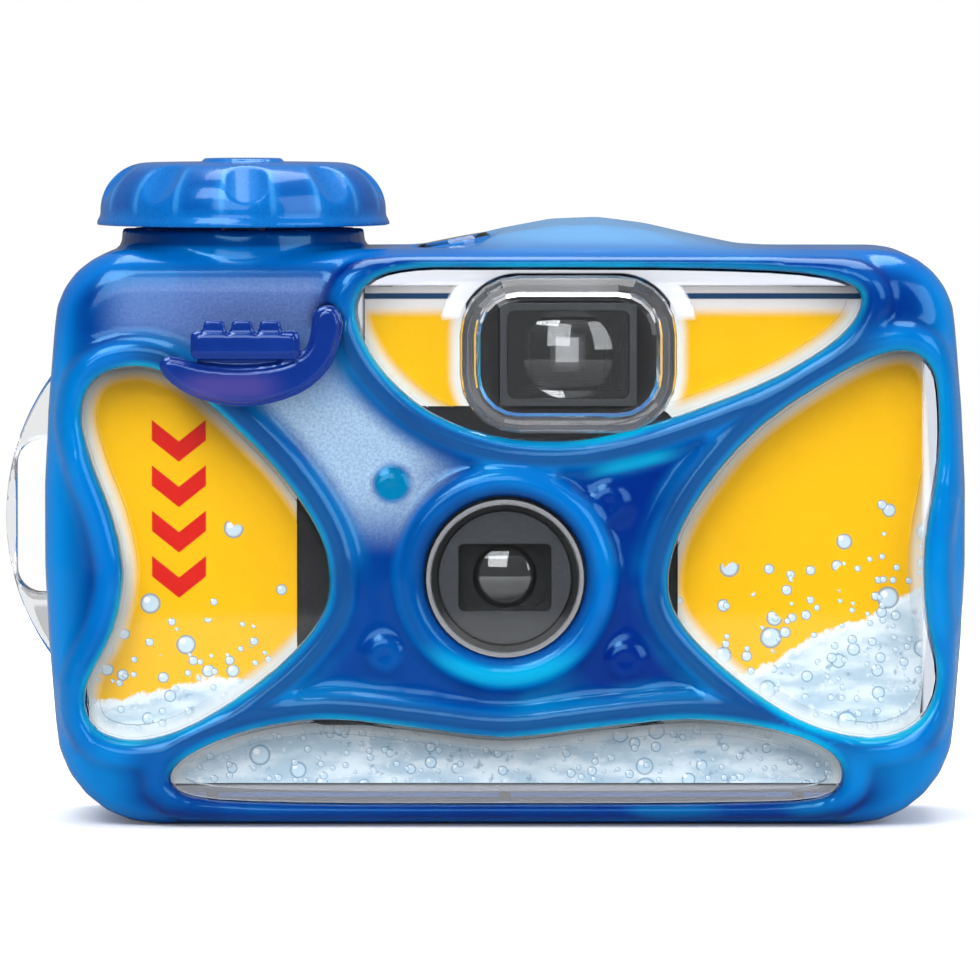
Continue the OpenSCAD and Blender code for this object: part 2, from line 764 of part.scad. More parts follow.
// Shutter lever: a curved arm on a pivot, with a groove between it and its ribbed finger pad
module shutter_lever() {
    pad_w = 14.8;
    pad_h = 3.9;
    pad_out = 0.4;
    groove = 1.1;
    pad_x = pivot_x - 11.1;
    pad_z = pivot_z - 3.25;
    rib_w = 2.9;
    rib_h = 1.4;
    rib_pitch = 3.8;
    crown = 0.6;
    color(deep_blue) difference() {
        union() {
            along_y(-lever_front + crown, -lever_back) polygon(smooth_loop(lever_arm, 3));
            along_y(-lever_front, -lever_front + crown + 0.3)
                offset(delta = -crown) polygon(smooth_loop(lever_arm, 3));
            translate([pad_x, 0, pad_z]) along_y(-lever_front - pad_out, -lever_back - 0.3)
                soft_rect(pad_w, pad_h, 0.9);
            translate([pad_x, 0, pad_z]) along_y(-lever_front - pad_out - 0.5, -lever_back - 0.5)
                soft_rect(pad_w - 2 * crown, pad_h - 2 * crown, 0.6);
            translate([pad_x, 0, pad_z - pad_h / 2 - groove / 2])
                along_y(-lever_front + lever_t / 2, -lever_back - 0.3) soft_rect(pad_w - 2, groove + 2.4, 0.4);
            for (i = [-1:1]) translate([pad_x - 0.4 + rib_pitch * i, 0, pad_z + pad_h / 2])
                along_y(-lever_front - pad_out - 0.2, -lever_back - 0.7) soft_rect(rib_w, 2 * rib_h, 0.7);
        }
        bar_y(pivot_x, pivot_z, lever_shaft_r + 0.02, -lever_front + 1.1, -lever_back + 1);
    }
}

// Steel shaft of the shutter lever, through the housing wall
module lever_shaft() {
    color([0.7, 0.72, 0.74]) bar_y(pivot_x, pivot_z, lever_shaft_r, -lever_front + 1.2, arm_back);
}
arm_front = -housing_in_y + 1.2;
arm_back = arm_front + 1.6;

// Rubber ring that seals the lever's shaft
module lever_seal() {
    color(black) translate([pivot_x, -housing_y - 0.5, pivot_z]) rotate([90, 0, 0])
        ring_z(lever_shaft_r + 0.3 + 0.04, 0.3);
}

// Arm on the inner end of the lever's shaft that presses the shutter button
module release_arm() {
    reach = button_x - pivot_x;
    color(black) difference() {
        union() {
            bar_y(pivot_x, pivot_z, 2.3, arm_front, arm_back);
            along_y(arm_front, arm_back) polygon([
                [pivot_x, pivot_z - 1.4], [pivot_x, pivot_z + 2.2],
                [pivot_x + reach - 1.8, button_top + 2], [pivot_x + reach - 1.8, button_top + 0.3],
                [pivot_x + reach + 1.5, button_top + 0.3]
            ]);
            box([pivot_x + reach - 1.6, arm_back - 0.2, button_top + 0.3],
                [pivot_x + reach + 1.4, button_y + 1, button_top + 1.8]);
        }
        bar_y(pivot_x, pivot_z, lever_shaft_r + 0.02, arm_front - 1, arm_back + 1);
    }
}
button_x = -30.6;
button_y = -9.2;

// Shutter button of the film camera: a small plunger with a head
module shutter_button() {
    color(black) union() {
        bar_z(button_x, button_y, 1.3, wheel_z + wheel_h + 1.4, button_top);
        bar_z(button_x, button_y, 2.3, button_top - 0.9, button_top);
    }
}

// Coil spring under the button's head
module button_spring() {
    color([0.75, 0.76, 0.78]) translate([button_x, button_y, 0])
        coil_z(1.85, 0.22, guide_z + 0.3, button_top - 1.2, 5);
}

// Printed card in front of the film camera, cut away round the lens and the finder
module front_card() {
    color(yellow) along_y(-cam_y - 0.45, -cam_y - 0.05) difference() {
        intersection() {
            polygon(body_outline(cavity_inset + 1.2, 0));
            translate([-side_x, cam_z0 + 0.8]) square([2 * side_x, cam_z1 - cam_z0 - 1.4]);
        }
        translate([-2.4, lens_z + 1.4]) soft_rect(52, 43.6, 4);
        translate([finder_x, finder_z + bezel_h / 2]) soft_rect(bezel_w - 1.6, 2 * bezel_h - 2.4, 7);
        translate([pivot_x - 5, pivot_z + 1]) square([20, 12], center = true);
    }
}

// Front cover of the film camera, with a notch for the release arm and a window over the counter
module inner_front_cover() {
    color(black) difference() {
        union() {
            difference() {
                cover_half(cover_split, -cam_y, 0, cover_round, 3);
                cover_half(cover_split + 1, -cover_in_y, cover_wall, cover_round - cover_wall, 2);
            }
            box([button_x - 3, -cover_in_y - 0.2, guide_z - 1.8], [button_x + 3, button_y + 2.4, guide_z]);
        }
        bar_y(0, lens_z, surround_r + 0.1, -cam_y - 1, -cover_in_y + 1);
        translate([finder_x, 0, finder_z]) along_y(-cam_y - 1, -cover_in_y + 1)
            square([finder_w + 0.3, finder_h + 0.3], center = true);
        box([pivot_x - 10, -cam_y - 1, guide_z], [pivot_x + 5, cover_split - 3, cam_z1 + 1]);
        box([-17, -10.5, cam_z1 - 2], [-5, cover_split - 1.5, cam_z1 + 1]);
        bar_z(knob_x, 0, shaft_r + 1, cam_z1 - 3, cam_z1 + 1);
        bar_z(button_x, button_y, 1.35, guide_z - 3, guide_z + 1);
    }
}
surround_r = 9;

// Rear cover of the film camera, with the pressure pad behind the film and the eyepiece hole
module inner_back_cover() {
    color(black) difference() {
        union() {
            difference() {
                cover_half(cover_split, cam_y, 0, cover_round, 3);
                cover_half(cover_split - 1, cover_in_y, cover_wall, cover_round - cover_wall, 2);
            }
            box([-gate_w / 2 - 1.5, film_y + film_t + 0.15, lens_z - film_w / 2 + 1],
                [gate_w / 2 + 1.5, cover_in_y + 0.2, lens_z + film_w / 2 - 1]);
        }
        translate([finder_x, 0, finder_z]) along_y(cover_in_y - 1, cam_y + 1)
            square([eye_tube + 0.3, eye_tube + 0.3], center = true);
        bar_z(knob_x, 0, shaft_r + 1, cam_z1 - 3, cam_z1 + 1);
    }
}
eye_tube = 9;

// Chassis of the film camera: cassette and film chambers, light tunnel, film gate and posts
module chassis() {
    color([0.1, 0.1, 0.11]) difference() {
        union() {
            translate([0, 0, (cam_z0 + cover_wall + slip + deck_z) / 2])
                along_y(chassis_front, chassis_back)
                    soft_rect(2 * (cover_in_x - slip), deck_z - cam_z0 - cover_wall - slip, 5.2);
            bar_z(counter_x, counter_y, 1.2, deck_z - 1, counter_z + 2.2);
            bar_z(meter_x, meter_y, pin_r, deck_z - 1, wheel_z - 0.3);
            bar_y(striker_x, striker_z, pin_r, chassis_front - 0.9, chassis_front + 1);
        }
        bar_z(knob_x, 0, chamber_r, cassette_z - 0.2, cassette_z + cassette_h + 0.2);
        bar_z(knob_x, 0, spool_hub_r + 0.9, cassette_z + cassette_h - 1, deck_z + 1);
        bar_z(knob_x, 0, spool_hub_r + 0.9, cassette_z - 2.6, cassette_z + 1);
        bar_z(supply_x, supply_y, roll_r + 1.9, cassette_z - 0.2, cassette_z + cassette_h + 0.2);
        bar_z(supply_x, supply_y, 1.55, cassette_z - 3, cassette_z + cassette_h + 0.9);
        box([supply_x - 12, film_y - 1.6, cassette_z - 0.2],
            [supply_x + 2, chassis_back + 1, cassette_z + cassette_h + 0.2]);
        box([knob_x, film_y - 1.3, cassette_z - 0.2],
            [knob_x + 15, chassis_back + 1, cassette_z + cassette_h + 0.2]);
        hull() {
            box([-4, chassis_front - 1, lens_z - 4], [4, chassis_front + 0.1, lens_z + 4]);
            box([-gate_w / 2, chassis_back - 0.1, lens_z - gate_h / 2],
                [gate_w / 2, chassis_back + 1, lens_z + gate_h / 2]);
        }
        bar_z(sprocket_x, sprocket_y, sprocket_r + 0.8, sprocket_z - 0.6, sprocket_z + 3);
        bar_z(sprocket_x, sprocket_y, 1.5 + run_fit, sprocket_z - 3, deck_z + 1);
        box([sprocket_x - 4.6, sprocket_y, sprocket_z - 0.6],
            [sprocket_x + 4.6, chassis_back + 1, sprocket_z + 3]);
    }
}
pin_r = 1.1;
meter_x = -23.8;
meter_y = -7.2;
striker_x = -13;
striker_z = lens_z + 14;

// Black surround of the lens, with a stepped rectangular hood
module lens_surround() {
    color(black) difference() {
        union() {
            bar_y(0, lens_z, surround_r, -surround_y, -cover_in_y + 0.6);
            bar_y(0, lens_z, surround_r + 2, -cover_in_y + 0.1, -cover_in_y + 1);
        }
        translate([0, 0, lens_z]) along_y(-surround_y - 1, -surround_y + 1.9) soft_rect(12.7, 9.2, 0.8);
        translate([0, 0, lens_z]) along_y(-surround_y, -surround_y + 2.8) soft_rect(11.4, 8.2, 2);
        bar_y(0, lens_z, lens_r - 0.6, -surround_y, -cover_in_y + 2);
        bar_y(0, lens_z, lens_r + run_fit, lens_y, -cover_in_y + 2);
    }
}
surround_y = port_y - 2.9;
lens_y = -surround_y + 3.4;

// Meniscus taking lens
module taking_lens() {
    thick = 2;
    front_r = 11;
    rear_r = 15;
    color(clear) difference() {
        intersection() {
            bar_y(0, lens_z, lens_r, lens_y + 0.02, lens_y + thick);
            translate([0, lens_y + 0.02 + front_r, lens_z]) sphere(front_r);
        }
        translate([0, lens_y + thick - 0.7 + rear_r, lens_z]) sphere(rear_r);
    }
}

// Ring that holds the lens in its seat
module lens_retainer() {
    color(black) difference() {
        bar_y(0, lens_z, lens_r, lens_y + 2.05, -cover_in_y + 1);
        bar_y(0, lens_z, lens_r - 1.6, lens_y, -cover_in_y + 2);
    }
}

// Plate with the fixed aperture and the blade's pivot pin
module shutter_plate() {
    y0 = -cover_in_y + 1.1;
    color([0.3, 0.3, 0.32]) difference() {
        union() {
            translate([0, 0, lens_z]) along_y(y0, y0 + 0.8) soft_rect(25, 22, 3);
            bar_y(blade_x, blade_z, 0.8, y0 + 0.4, chassis_front - 0.1);
        }
        bar_y(0, lens_z, 1.6, y0 - 1, y0 + 2);
    }
}
blade_x = 6.4;
blade_z = lens_z - 6.4;
blade_y = -cover_in_y + 2.05;

// Shutter blade: a disc on an arm that swings off the aperture
module shutter_blade() {
    color([0.15, 0.15, 0.16]) along_y(blade_y, blade_y + 0.3) difference() {
        union() {
            translate([0, lens_z]) circle(3.1);
            translate([blade_x, blade_z]) circle(1.9);
            polygon([
                [-1, lens_z - 1.6], [blade_x - 1.3, blade_z - 1.3], [blade_x + 1.3, blade_z + 1.3],
                [1.6, lens_z + 1]
            ]);
        }
        translate([blade_x, blade_z]) circle(0.85);
    }
}

// Sprung lever that strikes the blade open, with a tail that the wheel's lever cocks
module striker() {
    y0 = chassis_front - 0.7;
    y1 = y0 + 0.45;
    hub_r = 2.4;
    half_w = 0.7;
    tip = [11, -4.8];
    tail = [-5.8, 6.8];
    color([0.35, 0.33, 0.3]) difference() {
        union() {
            bar_y(striker_x, striker_z, hub_r, y0, y1);
            along_y(y0, y1) translate([striker_x, striker_z]) polygon([
                tail + half_w * [0.8, 0.6], tail - half_w * [0.8, 0.6],
                [-2, -2] * half_w, tip - half_w * [0.6, 0.8],
                tip + half_w * [0.6, 0.8], [2, 2] * half_w
            ]);
        }
        bar_y(striker_x, striker_z, pin_r + run_fit, y0 - 1, y1 + 1);
    }
}

// Lever that locks the wheel after each frame
module metering_lever() {
    hub_r = 2.2;
    tip = [4, 6.5];
    color([0.9, 0.9, 0.88]) translate([meter_x, meter_y, deck_z + slip]) linear_extrude(1.2)
        difference() {
            union() {
                circle(hub_r);
                polygon([
                    [-0.75 * hub_r, 0.45 * hub_r], [0.8 * hub_r, -0.45 * hub_r],
                    tip + [0.6, -0.3], tip + [-0.6, 0.3]
                ]);
            }
            circle(pin_r + run_fit);
        }
}

// Mouth of the finder's tunnel: its depth in the body, its recess and its wall
mouth_y = -bezel_y + housing_wall + 1;
mouth_d = 2.6;
mouth_wall = 1;

// Tunnel of the finder, wide in front and narrow behind
module finder_tube() {
    step = -cover_in_y + 4;
    rear = cam_y - 0.1;
    color(black) translate([finder_x, 0, finder_z]) difference() {
        union() {
            along_y(mouth_y, step) square([finder_w, finder_h], center = true);
            along_y(step - 1, rear) square([eye_tube, eye_tube], center = true);
        }
        along_y(mouth_y - 1, mouth_y + mouth_d)
            soft_rect(finder_w - 2 * mouth_wall, finder_h - 2 * mouth_wall, 1);
        along_y(mouth_y, mouth_y + 6) square([finder_w - 4.4, finder_h - 4], center = true);
        along_y(mouth_y, step - 3) square([finder_w - 7, finder_h - 6], center = true);
        along_y(mouth_y, rear + 1) square([eye_tube - 3.4, eye_tube - 3], center = true);
        along_y(rear - 2, rear + 1) square([eye_tube - 2, eye_tube - 2], center = true);
    }
}

// Front lens of the finder, seated in the tunnel's mouth
module finder_front_lens() {
    hollow_r = 20;
    color(clear) translate([finder_x, 0, finder_z]) difference() {
        along_y(mouth_y + 0.8, mouth_y + mouth_d - run_fit)
            soft_rect(finder_w - 2 * mouth_wall - 0.2, finder_h - 2 * mouth_wall - 0.2, 0.9);
        translate([0, mouth_y + mouth_d - 1 + hollow_r, 0]) sphere(hollow_r, $fn = 144);
    }
}

// Eyepiece lens of the finder
module finder_eye_lens() {
    rear = cam_y - 0.1;
    color(clear) translate([finder_x, 0, finder_z]) along_y(rear - 1.95, rear - 0.3)
        square([eye_tube - 2.2, eye_tube - 2.2], center = true);
}

// Metal film cassette with its lip
module film_cassette() {
    z1 = cassette_z + cassette_h;
    shell = 0.6;
    color([0.25, 0.26, 0.28]) difference() {
        union() {
            bar_z(knob_x, 0, cassette_r, cassette_z, z1);
            box([knob_x + 5, film_y - 0.9, cassette_z + 1.5], [knob_x + 13.6, film_y + 1.1, z1 - 1.5]);
        }
        bar_z(knob_x, 0, cassette_r - shell, cassette_z + 1, z1 - 1);
        bar_z(knob_x, 0, spool_hub_r + 0.8, cassette_z - 1, z1 + 1);
        box([knob_x + 2, film_y - 0.2, lens_z - film_w / 2 - 0.3],
            [knob_x + 15, film_y + film_t + 0.2, lens_z + film_w / 2 + 0.3]);
    }
}

// Film from the cassette's lip to the supply roll, with its two rows of holes
module film_strip() {
    pitch = 4.75;
    from_x = knob_x + 12.5;
    color([0.45, 0.3, 0.22]) difference() {
        box([from_x, film_y, lens_z - film_w / 2], [supply_x, film_y + film_t, lens_z + film_w / 2]);
        for (x = [from_x + 3:pitch:supply_x - 2], z = [-14.1, 14.1])
            box([x - 1, film_y - 1, lens_z + z - 1.4], [x + 1, film_y + 1, lens_z + z + 1.4]);
    }
}

// Spool that the unexposed film starts on
module supply_spool() {
    color([0.15, 0.15, 0.16]) union() {
        bar_z(supply_x, supply_y, 5, cassette_z + 2, cassette_z + cassette_h - 2);
        for (z = [lens_z - film_w / 2 - 1.6, lens_z + film_w / 2 + 0.6])
            bar_z(supply_x, supply_y, roll_r + 1, z, z + 1);
        bar_z(supply_x, supply_y, 1.5, cassette_z - 2.4, cassette_z + cassette_h + 0.6);
    }
}

// Unexposed film wound on the supply spool
module film_roll() {
    color([0.45, 0.3, 0.22]) difference() {
        bar_z(supply_x, supply_y, roll_r, lens_z - film_w / 2, lens_z + film_w / 2);
        bar_z(supply_x, supply_y, 5 + 0.02, lens_z - film_w, lens_z + film_w);
    }
}

// Sprocket that the film turns, on a shaft with the counter's cam
module sprocket_wheel() {
    teeth = 8;
    color([0.92, 0.92, 0.9]) union() {
        bar_z(sprocket_x, sprocket_y, sprocket_r - 1.2, sprocket_z, sprocket_z + 2.4);
        for (i = [0:teeth - 1]) translate([sprocket_x, sprocket_y, sprocket_z + 0.3])
            rotate([0, 0, 360 * i / teeth]) linear_extrude(1.8)
                polygon([[0, -1.1], [sprocket_r, -0.5], [sprocket_r, 0.5], [0, 1.1]]);
        bar_z(sprocket_x, sprocket_y, 1.5, sprocket_z - 2.6, wheel_z + 3.2);
        difference() {
            bar_z(sprocket_x, sprocket_y, 3.8, deck_z + 0.4, deck_z + 2.4);
            bar_z(sprocket_x + 4, sprocket_y, 1, deck_z, deck_z + 3);
        }
    }
}

// Dial that counts the frames
module counter_dial() {
    teeth = 36;
    color([0.95, 0.95, 0.93]) difference() {
        bar_z(counter_x, counter_y, counter_r, counter_z, counter_z + 1.4);
        bar_z(counter_x, counter_y, 1.2 + run_fit, counter_z - 1, counter_z + 2);
        for (i = [0:teeth - 1]) translate([counter_x, counter_y, 0]) rotate([0, 0, 360 * i / teeth])
            bar_z(counter_r + 0.15, 0, 0.4, counter_z - 1, counter_z + 2);
    }
}

front_frame();
rear_frame();
front_housing();
rear_housing();
housing_gasket();
lens_window();
counter_window();
strap_loop();
advance_knob();
knob_shaft();
knob_seal();
thumbwheel();
cassette_spool();
shutter_lever();
lever_shaft();
lever_seal();
release_arm();
shutter_button();
button_spring();
front_card();
inner_front_cover();
inner_back_cover();
chassis();
lens_surround();
taking_lens();
lens_retainer();
shutter_plate();
shutter_blade();
striker();
metering_lever();
finder_tube();
finder_front_lens();
finder_eye_lens();
film_cassette();
film_strip();
supply_spool();
film_roll();
sprocket_wheel();
counter_dial();
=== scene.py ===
import math

import bmesh
import bpy
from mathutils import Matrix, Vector, kdtree


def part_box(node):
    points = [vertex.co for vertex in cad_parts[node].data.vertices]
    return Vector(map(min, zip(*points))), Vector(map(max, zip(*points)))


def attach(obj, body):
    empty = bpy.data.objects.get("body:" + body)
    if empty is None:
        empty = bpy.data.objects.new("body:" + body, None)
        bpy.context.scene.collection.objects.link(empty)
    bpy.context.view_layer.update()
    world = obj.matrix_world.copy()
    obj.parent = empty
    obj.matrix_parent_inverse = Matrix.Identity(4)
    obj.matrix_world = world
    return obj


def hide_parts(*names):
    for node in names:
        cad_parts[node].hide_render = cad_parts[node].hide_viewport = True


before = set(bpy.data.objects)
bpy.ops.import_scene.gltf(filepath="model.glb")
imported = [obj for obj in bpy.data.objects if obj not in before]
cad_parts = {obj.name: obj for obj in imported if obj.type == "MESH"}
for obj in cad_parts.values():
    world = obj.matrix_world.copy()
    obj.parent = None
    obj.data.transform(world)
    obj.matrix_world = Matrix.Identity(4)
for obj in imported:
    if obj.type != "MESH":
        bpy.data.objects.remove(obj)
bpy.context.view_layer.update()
scene = bpy.context.scene
scene.view_settings.view_transform = "Standard"

# Film camera: a plain black single-use camera moulded in two covers round a chassis.
# Spark-eroded polystyrene with a fine even grain, snapped together without screws.


class Flow:
    """One output of a shader node; arithmetic on it adds Math nodes."""

    def __init__(self, finish, socket):
        self.finish, self.socket = finish, socket

    def sum_up(self, operation, *values):
        return self.finish.add("ShaderNodeMath", {"operation": operation}, dict(enumerate(values)))

    def __add__(self, other):
        return self.sum_up("ADD", self, other)

    def __sub__(self, other):
        return self.sum_up("SUBTRACT", self, other)

    def __rsub__(self, other):
        return self.sum_up("SUBTRACT", other, self)

    def __mul__(self, other):
        return self.sum_up("MULTIPLY", self, other)

    def __truediv__(self, other):
        return self.sum_up("DIVIDE", self, other)

    def __pow__(self, other):
        return self.sum_up("POWER", self, other)

    __radd__ = __add__
    __rmul__ = __mul__

    def least(self, other):
        return self.sum_up("MINIMUM", self, other)

    def most(self, other):
        return self.sum_up("MAXIMUM", self, other)

    def sine(self):
        return self.sum_up("SINE", self)

    def size(self):
        return self.sum_up("ABSOLUTE", self)

    def angle_over(self, other):
        return self.sum_up("ARCTAN2", self, other)

    def rise(self, low, high):
        """0 below low, 1 above high, with a soft step between."""
        return self.finish.add(
            "ShaderNodeMapRange",
            {"interpolation_type": "SMOOTHSTEP"},
            {"Value": self, "From Min": low, "From Max": high},
        )

    def fall(self, low, high):
        """1 below low, 0 above high, with a soft step between."""
        return 1 - self.rise(low, high)

    def about(self, middle, inner, outer):
        """1 within inner of the middle, 0 past outer."""
        return (self - middle).size().fall(inner, outer)

    def twin(self, output):
        """Another output of the same node."""
        return Flow(self.finish, self.socket.node.outputs[output])


class Finish:
    """A material built on one Principled shader."""

    def __init__(self, name, **surface):
        self.material = bpy.data.materials.new(name)
        self.material.use_nodes = True
        self.tree = self.material.node_tree
        self.shader = self.tree.nodes["Principled BSDF"]
        self.end = self.tree.nodes["Material Output"]
        self.set(**surface)

    def join(self, socket, value):
        if isinstance(value, Flow):
            self.tree.links.new(value.socket, socket)
        elif hasattr(socket.default_value, "__len__") and len(socket.default_value) == 4:
            socket.default_value = (*value, 1.0)
        else:
            socket.default_value = value

    def add(self, kind, settings, sockets, output=0):
        node = self.tree.nodes.new(kind)
        for key, value in settings.items():
            setattr(node, key, value)
        for key, value in sockets.items():
            self.join(node.inputs[key], value)
        return Flow(self, node.outputs[output])

    def set(self, **surface):
        for key, value in surface.items():
            self.join(self.shader.inputs[key.replace("_", " ")], value)

    def place(self, axis=None):
        """Object coordinates in metres, or one of their axes."""
        spot = self.add("ShaderNodeTexCoord", {}, {}, "Object")
        if axis is None:
            return spot
        return self.add("ShaderNodeSeparateXYZ", {}, {0: spot}, axis)

    def away_from(self, x, z):
        """Distance from a point of the front, seen from the front."""
        return ((self.place("X") - x) ** 2 + (self.place("Z") - z) ** 2) ** 0.5

    def light_path(self, kind):
        return self.add("ShaderNodeLightPath", {}, {}, kind)

    def noise(self, scale, detail=3.0, rough=0.5, stretch=None, turn=(0, 0, 0)):
        spot = self.place()
        if stretch:
            spot = self.add(
                "ShaderNodeMapping", {}, {"Vector": spot, "Rotation": turn, "Scale": stretch})
        return self.add(
            "ShaderNodeTexNoise", {},
            {"Vector": spot, "Scale": scale, "Detail": detail, "Roughness": rough}, "Fac",
        )

    def blend(self, share, first, second):
        return self.add(
            "ShaderNodeMix", {"data_type": "RGBA"}, {0: share, 6: first, 7: second}, 2
        )

    def layer(self, ground, *coats):
        """Lay coats of colour, each with its mask, one over the other."""
        for mask, colour in coats:
            ground = self.blend(mask, ground, colour)
        return ground

    def grain(self, height, depth, strength):
        self.set(Normal=self.add(
            "ShaderNodeBump", {}, {"Height": height, "Distance": depth, "Strength": strength}
        ))

    def wear(self, *names):
        for name in names:
            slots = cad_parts[name].data.materials
            slots.clear()
            slots.append(self.material)


cover_dark, cover_light = (0.016, 0.015, 0.016), (0.034, 0.032, 0.033)
black_grain = Finish("black_grain", Specular_IOR_Level=0.25)
speck = black_grain.noise(2600, 2)
black_grain.set(
    Base_Color=black_grain.blend(black_grain.noise(90), cover_dark, cover_light),
    Roughness=0.42 + 0.2 * speck,
)
black_grain.grain(speck, depth=0.00008, strength=0.5)
black_grain.wear(
    "inner_front_cover", "inner_back_cover", "chassis", "thumbwheel", "release_arm",
    "shutter_button", "supply_spool", "cassette_spool",
)

# Works: a few white acetal mouldings, blackened sheet and drawn steel, all out of sight.
# Wheel, lever and dial are plain mouldings, and the spring and shafts are bright steel.
acetal_dark, acetal_light = (0.78, 0.77, 0.72), (0.86, 0.85, 0.81)
white_acetal = Finish("white_acetal", Roughness=0.45, Subsurface_Weight=0.1)
white_acetal.shader.inputs["Subsurface Radius"].default_value = (0.001, 0.001, 0.001)
white_acetal.set(
    Base_Color=white_acetal.blend(white_acetal.noise(140), acetal_dark, acetal_light))
white_acetal.wear("metering_lever", "sprocket_wheel", "counter_dial")

steel_dark, steel_light = (0.5, 0.51, 0.53), (0.68, 0.69, 0.71)
bright_steel = Finish("bright_steel", Metallic=1.0)
draw_lines = bright_steel.noise(1.0, stretch=(60, 60, 2400))
bright_steel.set(
    Base_Color=bright_steel.blend(draw_lines, steel_dark, steel_light),
    Roughness=0.22 + 0.2 * draw_lines,
)
bright_steel.wear("knob_shaft", "lever_shaft", "button_spring", "striker")

sheet_dark, sheet_light = (0.02, 0.02, 0.022), (0.05, 0.05, 0.055)
blackened_sheet = Finish("blackened_sheet", Metallic=0.6)
scuff = blackened_sheet.noise(420, 4, 0.6)
blackened_sheet.set(
    Base_Color=blackened_sheet.blend(scuff, sheet_dark, sheet_light),
    Roughness=0.4 + 0.25 * scuff,
)
blackened_sheet.wear("shutter_plate", "shutter_blade", "film_cassette")

# Film: a strip of orange-brown acetate from the supply roll across to the cassette.
# Its coated side has a soft gloss, and it is held by the spools alone.
film_dark, film_light = (0.16, 0.075, 0.04), (0.2, 0.1, 0.055)
film_base = Finish("film_base", Coat_Weight=0.3)
film_base.set(
    Base_Color=film_base.blend(film_base.noise(60), film_dark, film_light),
    Roughness=0.25 + 0.1 * film_base.noise(900),
)
film_base.wear("film_strip", "film_roll")

# Seals: black rubber rings on the two shafts and a flat gasket between the housing halves.
# Moulded, with a dull bloom, and held by squeezing.
rubber_dark, rubber_light = (0.02, 0.02, 0.02), (0.05, 0.05, 0.05)
seal_rubber = Finish("seal_rubber")
bloom = seal_rubber.noise(700)
seal_rubber.set(
    Base_Color=seal_rubber.blend(bloom, rubber_dark, rubber_light),
    Roughness=0.6 + 0.25 * bloom,
)
seal_rubber.wear("knob_seal", "lever_seal", "housing_gasket")

# Lens: a black hood with a stepped rectangular mouth and a small moulded meniscus behind it.
# The hood is satin inside its steps, with painted shade darkening its recessed mouth, and the lens
# carries a faint coating.
hood_dark, hood_light = (0.032, 0.033, 0.037), (0.056, 0.057, 0.062)
mouth_shade_black = (0.008, 0.008, 0.009)
hood_black = Finish("hood_black", Specular_IOR_Level=0.3)
hood_speck = hood_black.noise(1800, 2)
hood_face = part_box("lens_surround")[0].y
# Painted shade: the hood's recessed mouth, deeper than its face, is coloured near black.
mouth_shade = hood_black.place("Y").rise(hood_face + 0.0002, hood_face + 0.0012)
hood_black.set(
    Base_Color=hood_black.blend(
        mouth_shade, hood_black.blend(hood_speck, hood_dark, hood_light), mouth_shade_black),
    Roughness=0.36 + 0.15 * hood_speck,
)
hood_black.grain(hood_speck, depth=0.00004, strength=0.25)
hood_black.wear("lens_surround", "lens_retainer", "finder_tube")

lens_glass = Finish(
    "lens_glass", Base_Color=(0.965, 0.97, 0.98), Roughness=0.02, IOR=1.5,
    Transmission_Weight=1.0, Coat_Weight=1.0, Coat_IOR=2.2,
)
lens_glass.wear("taking_lens", "finder_front_lens", "finder_eye_lens")

# Front card: thin printed card glued to the camera's front, cut away round the lens.
# Yellow that fades to white along each window and at the finder, with a row of red chevrons,
# pale water waves and round bubbles.
window_knots_mm = {
    "finder": [
        (48.4, 71.4), (47, 74), (40, 75.6), (26, 76.2), (12.5, 76.3), (-3, 76.3), (-12, 76.2),
        (-17.6, 74.9), (-20.2, 71.6), (-19.4, 67), (-16.1, 61.8), (-10.2, 56.8), (-2, 53.6),
        (7.5, 52.7), (16.5, 54.1), (27, 57.5), (37.5, 61.9), (45.4, 67),
    ],
    "left": [
        (-24, 34.5), (-25.6, 40.6), (-31, 48.6), (-38.6, 56.2), (-44.6, 61.2), (-50.4, 62.9),
        (-55.6, 61.2), (-57.6, 56.6), (-56.2, 50), (-53.4, 42.6), (-51.9, 34.6), (-53.4, 26.6),
        (-57.1, 19), (-55.8, 13.6), (-49.8, 12), (-41.6, 14.6), (-31, 22), (-25, 29),
    ],
    "right": [
        (58.9, 50), (58.8, 59.5), (57.4, 63.4), (53.6, 65), (46.3, 62.3), (35, 54.8), (27, 45.8),
        (22.9, 37.4), (22.9, 30), (29, 22.6), (39.6, 15), (49.5, 12.3), (56.2, 14.4), (58.9, 20.4),
        (57.3, 29), (57, 38.5),
    ],
    "foot": [
        (45.9, 7), (44.3, 10.4), (37.2, 13.3), (25.4, 14.7), (12, 13.5), (0, 12.2), (-12, 13.5),
        (-24, 14.7), (-33.6, 13.5), (-41.5, 10.8), (-45.6, 7.2), (-42.6, 4.1), (-28, 3.2), (0, 3.1),
        (28, 3.2), (42.8, 3.9),
    ],
}
bezel_w, bezel_h, bezel_corner, bezel_round = 0.0295, 0.0214, 0.008, 0.0024
bezel_mid = sum(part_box("finder_tube"), Vector()) / 2


def window_edge(knots, count=30):
    """Smooth closed curve through a window's knots, in metres."""
    points = [Vector(k) * 0.001 for k in knots]
    edge = []
    for i, b in enumerate(points):
        a, c, d = points[i - 1], points[(i + 1) % len(points)], points[(i + 2) % len(points)]
        for t in (j / count for j in range(count)):
            edge.append(0.5 * (2 * b + (c - a) * t + (2 * a - 5 * b + 4 * c - d) * t ** 2
                               + (3 * b - a - 3 * c + d) * t ** 3))
    return edge


def merged_copy(node, piece_name):
    """Copy of a solid's mesh with its loose triangles joined."""
    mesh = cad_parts[node].data.copy()
    mesh.name = piece_name
    mesh.materials.clear()
    bm = bmesh.new()
    bm.from_mesh(mesh)
    bmesh.ops.remove_doubles(bm, verts=bm.verts, dist=1e-6)
    bm.to_mesh(mesh)
    bm.free()
    return mesh


